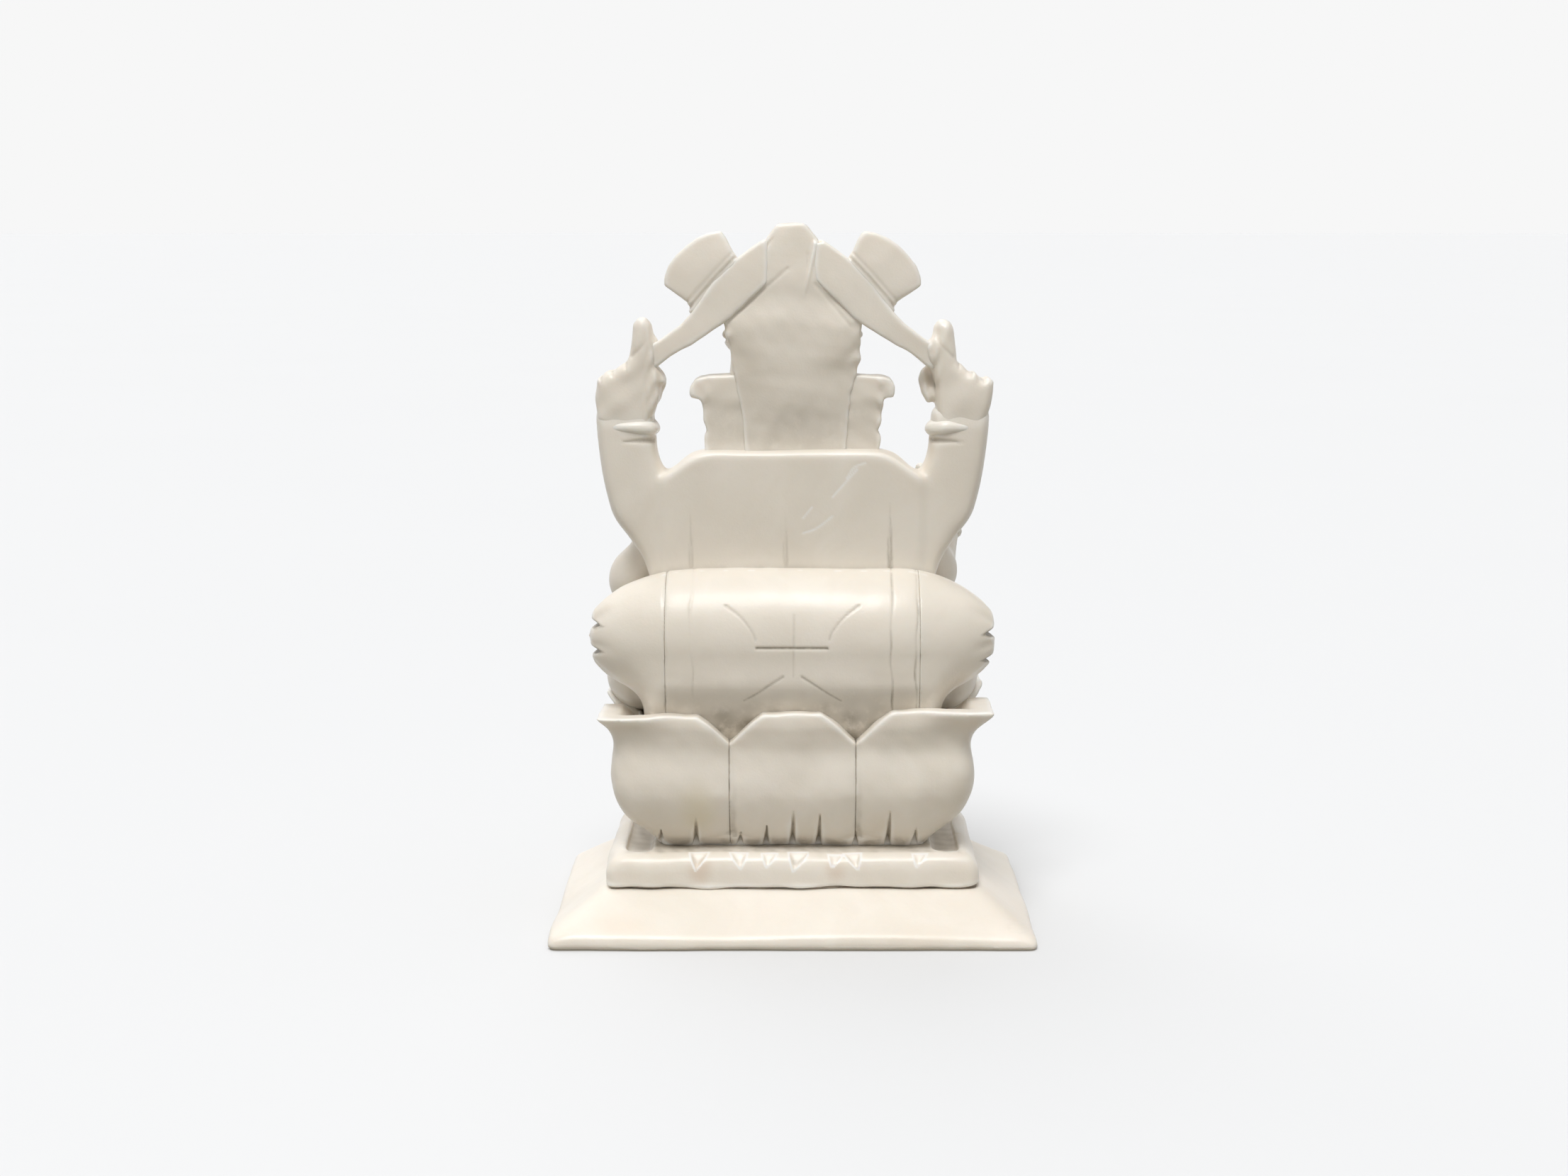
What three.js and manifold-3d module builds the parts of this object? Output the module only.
// A seated Ganesha idol in white marble, with a bolster behind it, on a lotus seat and a stepped plinth.
// Millimetres, +Z up. The origin is the centre of the plinth's underside. The idol faces -Y, so its own
// left hand is on +X. Each carved form is a solid of its own, and neighbours stop JOINT_GAP apart.
import * as THREE from "three";
import { mergeVertices } from "three/addons/utils/BufferGeometryUtils.js";
import Module from "manifold-3d";

const wasm = await Module();
wasm.setup();

// Driving dimensions.
const HEIGHT = 228.6;
const PLINTH = { width: 157, depth: 102, height: 15, lip: 4, run: 17.5 };
const BED = { thickness: 0.6, inset: 1.2 };
const STEP = { width: 122, depth: 67, height: 10 };
const SEAT = { halfWidth: 50, halfDepth: 22, height: 38 };
const PETAL = { top: 73.5, notch: 64, seam: 20.6, cornerFlat: 33, reach: 13.4 };
const BOLSTER = { y: 12, z: 95, radiusY: 20, radiusZ: 22.4, halfLength: 66.5, band: 41 };
const BACK = { y: 14.5, thickness: 18 }; // the flat back plane that torso, arms and head share
const BRACELET = { low: 158.6, high: 165.2, half: 10.4 };
const AXE = { handleDepth: 9.5, bladeDepth: 6.5 };

const JOINT_GAP = 0.3;
const ROUND = 10; // segments round a limb or a turned form
const FINE = 16; // segments round a broad form
const BED_BOTTOM = PLINTH.height + JOINT_GAP;
const STEP_BOTTOM = BED_BOTTOM + BED.thickness + JOINT_GAP;
const STEP_TOP = STEP_BOTTOM + STEP.height;
const SEAT_BOTTOM = STEP_TOP + JOINT_GAP;
const SEAT_TOP = SEAT_BOTTOM + SEAT.height;

const MARBLE = new THREE.MeshStandardMaterial({ color: 0xe6ddcf, roughness: 0.32, metalness: 0 });
const ADHESIVE = new THREE.MeshStandardMaterial({ color: 0x6b6252, roughness: 0.9, metalness: 0 });

// ---- solids -------------------------------------------------------------------------------------------

// A closed geometry as a solid.
function solidOf(geometry) {
  const plain = geometry.clone();
  plain.deleteAttribute("normal");
  plain.deleteAttribute("uv");
  const merged = mergeVertices(plain, 1e-4);
  const vertProperties = new Float32Array(merged.attributes.position.array);
  const triVerts = new Uint32Array(merged.index.array);
  return new wasm.Manifold(new wasm.Mesh({ numProp: 3, vertProperties, triVerts }));
}

// The solid as a geometry again.
function geometryOf(solid) {
  const mesh = solid.getMesh();
  return new THREE.BufferGeometry()
    .setAttribute("position", new THREE.BufferAttribute(mesh.vertProperties, 3))
    .setIndex(new THREE.BufferAttribute(mesh.triVerts, 1));
}

const joined = (solids) => solids.reduce((a, b) => a.add(b));

// Every form below takes grow, the distance that all its faces stand out from its true size.
function box(low, high, grow = 0) {
  const size = low.map((v, i) => high[i] - v + 2 * grow);
  const centre = low.map((v, i) => (v + high[i]) / 2);
  return solidOf(new THREE.BoxGeometry(...size).translate(...centre));
}

function ellipsoid(centre, radii, grow = 0) {
  const ball = new THREE.SphereGeometry(1, FINE, FINE / 2);
  ball.rotateX(Math.PI / 2);
  return solidOf(ball.scale(...radii.map((r) => r + grow)).translate(...centre));
}

// A limb through stations [x, y, z, radius], with a rounded end at each tip. It is a turned form whose
// rings are moved to the stations and tilted to follow the limb.
function limb(stations, grow = 0, segments = ROUND) {
  const points = stations.map(([x, y, z]) => new THREE.Vector3(x, y, z));
  const last = points.length - 1;
  const heading = points.map((_, i) => (
    points[Math.min(i + 1, last)].clone().sub(points[Math.max(i - 1, 0)]).normalize()
  ));
  const rings = [];
  const addRing = (i, ahead, share) => {
    const radius = stations[i][3] + grow;
    const centre = points[i].clone().addScaledVector(heading[i], ahead * radius);
    const turn = new THREE.Quaternion().setFromUnitVectors(new THREE.Vector3(0, 1, 0), heading[i]);
    rings.push({ centre, turn, radius: radius * share });
  };
  addRing(0, -1, 0);
  addRing(0, -0.7, 0.7);
  stations.forEach((_, i) => addRing(i, 0, 1));
  addRing(last, 0.7, 0.7);
  addRing(last, 1, 0);
  const profile = rings.map(({ radius }, level) => new THREE.Vector2(Math.sign(radius), level));
  const tube = new THREE.LatheGeometry(profile, segments);
  const at = tube.attributes.position;
  const point = new THREE.Vector3();
  for (let i = 0; i < at.count; i += 1) {
    const ring = rings[Math.round(at.getY(i))];
    point.fromBufferAttribute(at, i).setY(0).multiplyScalar(ring.radius);
    point.applyQuaternion(ring.turn).add(ring.centre);
    at.setXYZ(i, point.x, point.y, point.z);
  }
  return solidOf(tube);
}

// A flat-sided stone slab: a front-view outline in X and Z between two depths in Y.
function slab(outline, yLow, yHigh, grow = 0) {
  const edge = grow > 0
    ? { bevelEnabled: true, bevelSize: grow, bevelThickness: grow, bevelSegments: 1 }
    : { bevelEnabled: false };
  const made = new THREE.ExtrudeGeometry(outline, { depth: yHigh - yLow, curveSegments: 8, ...edge });
  made.rotateX(Math.PI / 2); // the outline's y becomes z, and the depth runs towards -Y
  return solidOf(made.translate(0, yHigh, 0));
}

const shapeOf = (points) => new THREE.Shape(points.map(([x, y]) => new THREE.Vector2(x, y)));

// The same outline on the idol's left (side 1) or right (side -1).
function sided(points, side) {
  return shapeOf(side > 0 ? points : points.map(([x, z]) => [-x, z]).reverse());
}

// A turned form about a vertical axis at [x, y], from [radius, z] points that start and end on the axis.
function turned([x, y], profile, grow = 0, depthScale = 1, segments = ROUND) {
  const points = profile.map(([r, z], i) => {
    const first = i === 0;
    const last = i === profile.length - 1;
    return new THREE.Vector2(first || last ? 0 : r + grow, z + (first ? -grow : 0) + (last ? grow : 0));
  });
  if (grow > 0) {
    points[1].y -= grow;
    points[points.length - 2].y += grow;
  }
  const made = new THREE.LatheGeometry(points, segments).rotateX(Math.PI / 2);
  return solidOf(made.scale(1, depthScale, 1).translate(x, y, 0));
}

// ---- the assembly --------------------------------------------------------------------------------------

const idol = new THREE.Group();
const placed = [];

function touch(a, b) {
  const p = a.boundingBox();
  const q = b.boundingBox();
  return [0, 1, 2].every((k) => p.min[k] < q.max[k] && q.min[k] < p.max[k]);
}

// Adds one named piece. Where it would run into a piece already placed, it is cut back to leave the gap.
function place(name, form, material = MARBLE) {
  let solid = form(0);
  for (const other of placed) if (touch(solid, other.grown)) solid = solid.subtract(other.grown);
  const [largest] = solid.decompose().sort((a, b) => b.volume() - a.volume());
  placed.push({ name, grown: form(JOINT_GAP) });
  const mesh = new THREE.Mesh(geometryOf(largest), material);
  mesh.name = name;
  idol.add(mesh);
}

const SIDES = [["left", 1], ["right", -1]];
const mirrored = (stations, side) => stations.map(([x, ...rest]) => [x * side, ...rest]);

// ---- plinth, adhesive bed and step -----------------------------------------------------------------------

function plinth(grow) {
  const block = new THREE.BoxGeometry(PLINTH.width, PLINTH.depth, PLINTH.height, 1, 1, 2);
  const at = block.attributes.position;
  for (let i = 0; i < at.count; i += 1) {
    const level = Math.round((at.getZ(i) / PLINTH.height + 0.5) * 2); // 0 foot, 1 lip, 2 top
    const inset = level === 2 ? PLINTH.run : 0;
    at.setX(i, at.getX(i) - Math.sign(at.getX(i)) * (inset - grow));
    at.setY(i, at.getY(i) - Math.sign(at.getY(i)) * (inset - grow));
    at.setZ(i, [-grow, PLINTH.lip, PLINTH.height + grow][level]);
  }
  return solidOf(block);
}

place("base_plinth", plinth);
place("adhesive_bed", (grow) => box(
  [BED.inset - STEP.width / 2, BED.inset - STEP.depth / 2, BED_BOTTOM],
  [STEP.width / 2 - BED.inset, STEP.depth / 2 - BED.inset, BED_BOTTOM + BED.thickness],
  grow,
), ADHESIVE);

function chamferedStep(grow) {
  const chamfer = 1.6;
  const outline = shapeOf([
    [-STEP.width / 2, STEP_BOTTOM], [STEP.width / 2, STEP_BOTTOM], [STEP.width / 2, STEP_TOP - chamfer],
    [STEP.width / 2 - chamfer, STEP_TOP], [chamfer - STEP.width / 2, STEP_TOP],
    [-STEP.width / 2, STEP_TOP - chamfer],
  ]);
  return slab(outline, -STEP.depth / 2, STEP.depth / 2, grow);
}
place("pedestal_step", chamferedStep);

// ---- lotus seat: a core block inside a cup of six petals, four of which wrap its corners -------------------

place("lotus_core", (grow) => box(
  [-SEAT.halfWidth, -SEAT.halfDepth, SEAT_BOTTOM], [SEAT.halfWidth, SEAT.halfDepth, SEAT_TOP], grow,
));

// How far a petal stands out of the core's face, going up: a bulge, a waist and a flared rim.
const PETAL_FOOT = SEAT_BOTTOM + 0.4;
const PETAL_OUTSIDE = [
  [1.2, PETAL_FOOT], [4.6, 32], [7.6, 38], [9.6, 45], [10, 50], [8.7, 56], [7.4, 61], [8.2, 66],
  [10.4, 70], [PETAL.reach, PETAL.top],
];
const PETAL_INSIDE = [
  [JOINT_GAP, 0], [JOINT_GAP, SEAT_TOP], [3.2, 67], [6, 70], [9.4, PETAL.top], [9.4, HEIGHT],
];

// A block whose four sides all follow one profile of [distance out of the core, z].
function fourSided(profile) {
  const across = (half) => shapeOf([
    ...profile.map(([out, z]) => [half + out, z]), ...profile.map(([out, z]) => [-half - out, z]).reverse(),
  ]);
  const deep = slab(across(SEAT.halfWidth), -HEIGHT, HEIGHT);
  const wide = slab(across(SEAT.halfDepth), -HEIGHT, HEIGHT).rotate([0, 0, 90]);
  return deep.intersect(wide);
}

// A wedge that opens upwards at a seam and runs outwards through one wall of the cup.
function notch(seam) {
  const spread = PETAL.cornerFlat - PETAL.seam;
  const rise = PETAL.top - PETAL.notch;
  const outline = [[seam, PETAL.notch], [seam + 2 * spread, PETAL.notch + 2 * rise],
    [seam - 2 * spread, PETAL.notch + 2 * rise]];
  return slab(shapeOf(outline), 0, HEIGHT);
}

const cup = [-PETAL.seam, PETAL.seam].reduce(
  (wall, seam) => wall.subtract(notch(seam)).subtract(notch(seam).rotate([0, 0, 180])),
  fourSided(PETAL_OUTSIDE).subtract(fourSided(PETAL_INSIDE))
    .subtract(notch(0).rotate([0, 0, 90])).subtract(notch(0).rotate([0, 0, -90])),
);
for (const [end, sign] of [["back", 1], ["front", -1]]) {
  for (const [name, from, to] of [["right", -HEIGHT, -PETAL.seam], ["centre", -PETAL.seam, PETAL.seam],
    ["left", PETAL.seam, HEIGHT]]) {
    const depth = [JOINT_GAP / 2, HEIGHT].map((y) => y * sign).sort((p, q) => p - q);
    const sector = box([from + JOINT_GAP / 2, depth[0], 0], [to - JOINT_GAP / 2, depth[1], HEIGHT]);
    place(`lotus_petal_${end}_${name}`, () => cup.intersect(sector));
  }
}

// ---- bolster: a stuffed roll lying across the seat, gathered at both ends ---------------------------------

// Radius share of the roll at each distance from its middle, from full to the gathered tip.
const ROLL = [[0, 1], [37, 1], [46, 0.89], [55, 0.7], [61, 0.5], [65, 0.28], [BOLSTER.halfLength, 0]];

function roll(from, to, grow) {
  const at = (x) => {
    const i = Math.max(1, ROLL.findIndex(([edge]) => edge >= Math.abs(x)));
    const [[x0, r0], [x1, r1]] = [ROLL[i - 1], ROLL[i]];
    return r0 + ((r1 - r0) * (Math.abs(x) - x0)) / (x1 - x0);
  };
  const inner = ROLL.map(([x]) => x).filter((x) => x > 0);
  const stops = [...inner.map((x) => -x), ...inner].filter((x) => x > from && x < to).concat([from, to]);
  stops.sort((a, b) => a - b);
  const points = [new THREE.Vector2(0, from - grow)];
  const rim = grow / BOLSTER.radiusY;
  stops.filter((x) => at(x) > 0).forEach((x) => points.push(new THREE.Vector2(at(x) + rim, x)));
  points.push(new THREE.Vector2(0, to + grow));
  const made = new THREE.LatheGeometry(points, FINE + 4).rotateZ(-Math.PI / 2); // turned about X
  return solidOf(made.scale(1, BOLSTER.radiusY, BOLSTER.radiusZ).translate(0, BOLSTER.y, BOLSTER.z));
}
// The engraved band near each end is where the body stops and the gathered end starts.
place("bolster", (grow) => roll(-BOLSTER.band, BOLSTER.band, grow));
place("bolster_end_left", (grow) => roll(BOLSTER.band + JOINT_GAP, BOLSTER.halfLength, grow));
place("bolster_end_right", (grow) => roll(-BOLSTER.halfLength, -BOLSTER.band - JOINT_GAP, grow));

// ---- crossed legs -----------------------------------------------------------------------------------------

// The right foot lies on top, sole up, across the left one.
const FOOT_RIGHT = [[-9, -31, 76.5, 6.2], [3, -34, 78, 5.2], [12, -34, 79, 4.2]];
const FOOT_LEFT = [[17, -29, 70.5, 6.2], [5, -32, 71.5, 5.2], [-3, -32, 72.5, 4.2]];
const SHIN = [[50, -15, 77, 10.5], [14, -29, 76, 7.5]];
const THIGH = [[18, 2, 79, 14], [50.5, -9, 78.5, 12.5]];

place("foot_right", (grow) => limb(FOOT_RIGHT, grow));
place("foot_left", (grow) => limb(FOOT_LEFT, grow));
for (const [name, side] of SIDES) {
  place(`shin_${name}`, (grow) => limb(mirrored(SHIN, side), grow));
  place(`thigh_${name}`, (grow) => limb(mirrored(THIGH, side), grow));
}

// ---- torso ------------------------------------------------------------------------------------------------

// Rear view of the broad flat back, which narrows towards the bolster and carries the rear arms.
const BACK_OUTLINE = [
  [0, 112], [46, 112], [49, 119.5], [56, 132], [60.5, 143], [61.5, 148], [40, 148.4], [36, 152.5],
  [28, 155.5], [0, 156],
];
const backShape = shapeOf([...BACK_OUTLINE, ...BACK_OUTLINE.slice(1, -1).map(([x, z]) => [-x, z]).reverse()]);

place("belly", (grow) => ellipsoid([0, -9, 104], [31, 24, 26], grow));
place("torso", (grow) => joined([
  slab(backShape, BACK.y - BACK.thickness, BACK.y, grow),
  ellipsoid([0, -4, 136], [37, 16, 20], grow),
]));
place("hips", (grow) => ellipsoid([0, -2, 82], [36, 21, 19], grow));

// ---- rear arms, each raised with an axe -------------------------------------------------------------------

const ARM_TOP = BRACELET.low - JOINT_GAP;
const ARM_OUTLINE = [[40.5, 148.7], [61.6, 148.3], [63, ARM_TOP], [45, ARM_TOP]];
const HAND_FOOT = BRACELET.high + JOINT_GAP;
const HAND_OUTLINE = [
  [44.5, HAND_FOOT], [63.6, HAND_FOOT], [64.2, 172.5], [64.2, 178.4], [60, 181.2], [56, 182.6],
  [52.6, 186], [51.9, 191], [50.6, 196], [48.6, 198.3], [46, 196.6], [44.2, 191.4], [44, 183],
  [41.3, 178.2], [43.6, 172.5],
];
const BRACELET_MIDDLE = 54.2;
// The handle widens from the hand up to the crown, where the two nearly meet under the finial.
const HANDLE_OUTLINE = [
  [43.6, 183.2], [43.6, 191], [33.4, 199.8], [17.8, 217.4], [9.6, 222.6], [2.6, 222.6], [2.6, 213],
  [19.6, 198.2], [26.8, 193.6], [36.1, 188.2],
];

function bladeShape(side) {
  const shape = new THREE.Shape();
  const at = (x, z) => [x * side, z];
  shape.moveTo(...at(18, 217.9));
  shape.lineTo(...at(33.2, 200.7));
  shape.quadraticCurveTo(...at(34.6, 204.6), ...at(40.4, 208));
  shape.quadraticCurveTo(...at(37.5, 222.5), ...at(22, 224.4));
  shape.lineTo(...at(18, 217.9));
  return shape;
}

for (const [name, side] of SIDES) {
  place(`rear_arm_${name}`, (grow) => slab(sided(ARM_OUTLINE, side), BACK.y - 15, BACK.y - 2, grow));
  place(`rear_bracelet_${name}`, (grow) => turned(
    [BRACELET_MIDDLE * side, BACK.y - 8.5],
    [[0, BRACELET.low], [BRACELET.half - 1, BRACELET.low], [BRACELET.half, 163.5],
      [BRACELET.half - 1, BRACELET.high], [0, BRACELET.high]],
    grow, 0.74,
  ));
  place(`rear_hand_${name}`, (grow) => slab(sided(HAND_OUTLINE, side), BACK.y - 14, BACK.y - 3, grow));
  place(`axe_handle_${name}`, (grow) => slab(
    sided(HANDLE_OUTLINE, side), BACK.y - 1 - AXE.handleDepth, BACK.y - 1, grow,
  ));
  place(`axe_blade_${name}`, (grow) => slab(
    bladeShape(side), BACK.y - 3 - AXE.bladeDepth, BACK.y - 3, grow,
  ));
}

// ---- head -------------------------------------------------------------------------------------------------

const TRUNK = [
  [0, -18, 173, 8.6], [0, -25, 161, 7.8], [1, -31, 149, 7], [5, -35, 136, 6.2], [12, -37.5, 126, 5.3],
  [20, -38.5, 121.5, 4.5], [26, -39, 125, 3.8],
];
const TUSK_WHOLE = [[9, -20, 164, 2.8], [14, -29, 158.5, 1.6]];
const TUSK_BROKEN = [[9, -20, 164, 2.8], [11.5, -25, 161.4, 2.3]];
const EAR_OUTLINE = [
  [16, 156.6], [27.5, 156.6], [29, 165], [30, 171.5], [33.6, 173], [34, 177], [30, 180], [23, 180.6],
  [16, 180],
];
// The raised back of the head: round below, straight at the sides, and a gable under the axe handles.
const NAPE_OUTLINE = [
  [-9, 161.5], [9, 161.5], [15, 165], [18.6, 174], [20.4, 187], [20.4, 196.4], [2.3, 212.6], [2.3, 222.6],
  [-2.3, 222.6], [-2.3, 212.6], [-20.4, 196.4], [-20.4, 187], [-18.6, 174], [-15, 165],
];

place("trunk", (grow) => limb(TRUNK, grow));
place("tusk_left", (grow) => limb(TUSK_WHOLE, grow));
place("tusk_right", (grow) => limb(mirrored(TUSK_BROKEN, -1), grow));
place("head_back", (grow) => slab(shapeOf(NAPE_OUTLINE), BACK.y - 6, BACK.y + 0.5, grow));
place("head", (grow) => joined([
  box([-23, -2, 156.4], [23, BACK.y - 6.5, 189], grow),
  ellipsoid([0, -5, 175], [20, 17, 17], grow),
]));
for (const [name, side] of SIDES) {
  place(`ear_${name}`, (grow) => slab(sided(EAR_OUTLINE, side), -4, BACK.y - 6, grow));
}

// The crown: a band round the brow, a tall dome and a finial.
place("crown_band", (grow) => turned(
  [0, -3], [[0, 189.4], [22, 189.4], [23, 192.5], [22, 196.5], [0, 196.5]], grow, 0.72, FINE,
));
place("crown_dome", (grow) => turned(
  [0, -3], [[0, 196.9], [20.5, 196.9], [19.5, 203], [15, 211], [10.5, 218], [9, 221.4], [0, 221.4]],
  grow, 0.72, FINE,
));
place("crown_finial", (grow) => turned(
  [0, 3], [[0, 221.8], [9, 221.8], [5.5, 226], [4.2, HEIGHT], [0, HEIGHT]], grow, 0.9, FINE,
));

// ---- front arms: right hand raised in blessing, left hand with a bowl of sweets ------------------------

const PALM = { y: -33.5, thickness: 7 };
const BLESSING_OUTLINE = [
  [-61, 131], [-48, 131], [-45, 136], [-43.5, 143], [-46, 144], [-49, 141.5], [-49.3, 153], [-52, 157],
  [-56, 158], [-60, 155.5], [-61.5, 150],
];
const BOWL = { x: 27, y: -36, low: 104.4, high: 111.5, radius: 9.5 };
// Each sweet is a pointed dumpling: offset from the bowl's middle, and height.
const SWEETS = [[-3.8, -2, 6.6], [3.8, -2, 6.6], [0, 4, 6.6], [0, 0.2, 8.6]];

place("modak_bowl", (grow) => turned(
  [BOWL.x, BOWL.y],
  [[0, BOWL.low], [4.5, BOWL.low], [8.2, BOWL.low + 3], [BOWL.radius, BOWL.high], [0, BOWL.high]], grow,
));
place("modak_sweets", (grow) => joined(SWEETS.map(([dx, dy, height]) => {
  const foot = BOWL.high + JOINT_GAP;
  const profile = [[0, foot], [4.4, foot], [3.6, foot + 3], [1, foot + height - 0.6], [0, foot + height]];
  return turned([BOWL.x + dx, BOWL.y + dy], profile, grow);
})));
place("bowl_hand_left", (grow) => limb([[34, -33, 100.5, 5], [24, -37, 99.8, 4.2]], grow));
place("blessing_hand_right", (grow) => slab(
  shapeOf(BLESSING_OUTLINE), PALM.y - PALM.thickness / 2, PALM.y + PALM.thickness / 2, grow,
));
const WRIST_LEFT = [[39.5, -30.2, 102.4, 7.2], [41.5, -29, 103, 7.2]];
const WRIST_RIGHT = [[-54.7, -31.8, 126.2, 7.2], [-54.3, -30.8, 124.8, 7.2]];
place("front_bracelet_left", (grow) => limb(WRIST_LEFT, grow));
place("front_bracelet_right", (grow) => limb(WRIST_RIGHT, grow));
place("front_forearm_left", (grow) => limb([[53.5, -17, 109.5, 9.6], [43, -28, 103.6, 6.8]], grow));
place("front_forearm_right", (grow) => limb([[-50.5, -15, 111.5, 8.8], [-53.8, -29.4, 123, 6.6]], grow));
place("front_arm_left", (grow) => limb([[42, -7, 135.5, 9.6], [53.5, -11, 112, 10.5]], grow));
place("front_arm_right", (grow) => limb([[-42, -7, 135.5, 9.6], [-50, -10, 113, 9.6]], grow));

export default idol;
